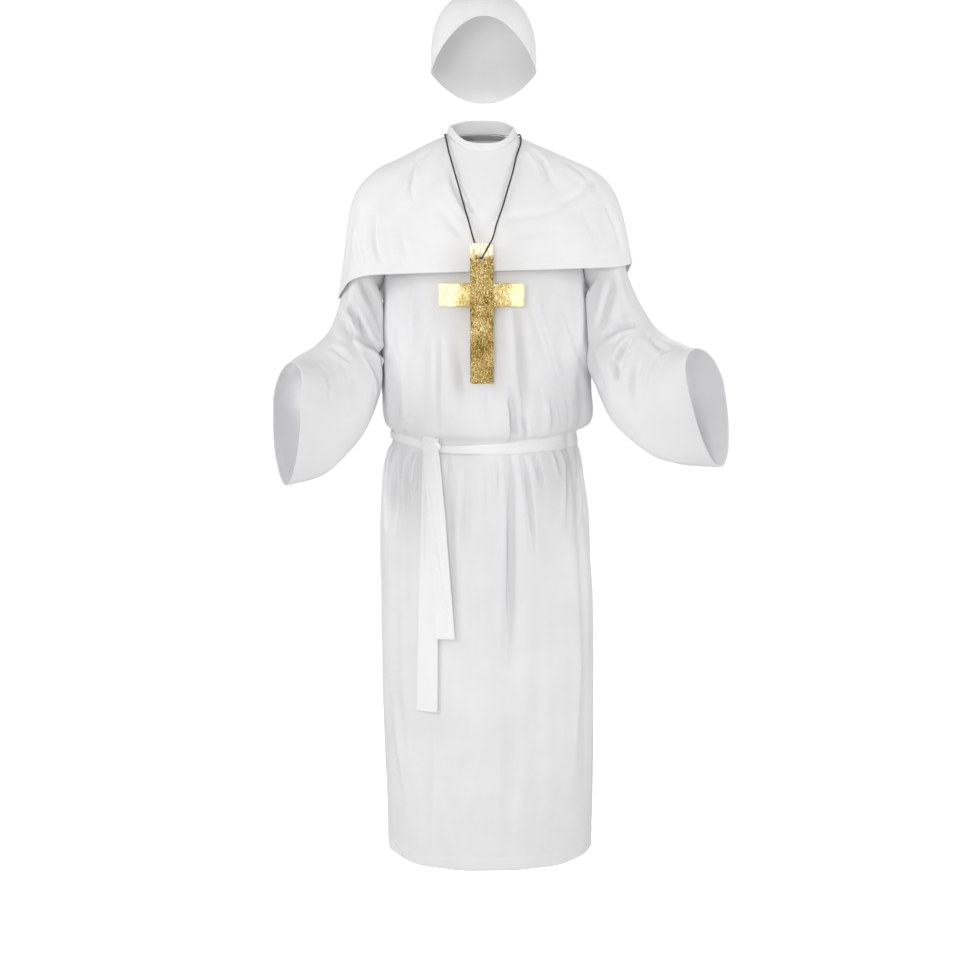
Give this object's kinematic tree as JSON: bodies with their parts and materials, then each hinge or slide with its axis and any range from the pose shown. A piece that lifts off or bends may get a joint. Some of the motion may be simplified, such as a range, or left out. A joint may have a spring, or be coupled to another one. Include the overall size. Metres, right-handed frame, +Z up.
{
  "type": "pope costume",
  "caption": "White papal fancy-dress set as worn: long belted robe with bell sleeves, shoulder cape with stand collar, close cap and gilt cross on a neck cord.",
  "frame": {"origin": "centre of the neck at the height where the cape rests on the shoulders beside it", "axes": "+Z up, front towards -Y, the wearer's right on -X"},
  "size_m": [0.7876, 0.404, 1.5522],
  "materials": {
    "robe_cloth": "smooth matt-satin white polyester jersey",
    "cape_cloth": "smooth white polyester with a soft sheen",
    "belt_tape": "folded white polyester tape",
    "crackled_foil": "crackled gilt foil",
    "bright_foil": "bright pale gilt foil",
    "cord_braid": "dark waxed cord"
  },
  "bodies": {
    "root": {"robe_front": "robe_cloth", "robe_back": "robe_cloth", "sleeve_right_arm": "robe_cloth", "sleeve_left_arm": "robe_cloth", "yoke_front": "robe_cloth", "yoke_back": "robe_cloth", "skirt_front": "robe_cloth", "skirt_back": "robe_cloth", "bell_right_arm": "robe_cloth", "bell_left_arm": "robe_cloth", "cape_front": "cape_cloth", "cape_back": "cape_cloth", "collar": "cape_cloth", "cap": "cape_cloth", "belt_band": "belt_tape", "belt_knot": "belt_tape", "belt_tail_long": "belt_tape", "belt_tail_short": "belt_tape", "cross_upright": "crackled_foil", "cross_bar": "bright_foil", "neck_cord": "cord_braid"}
  },
  "joints": []
}
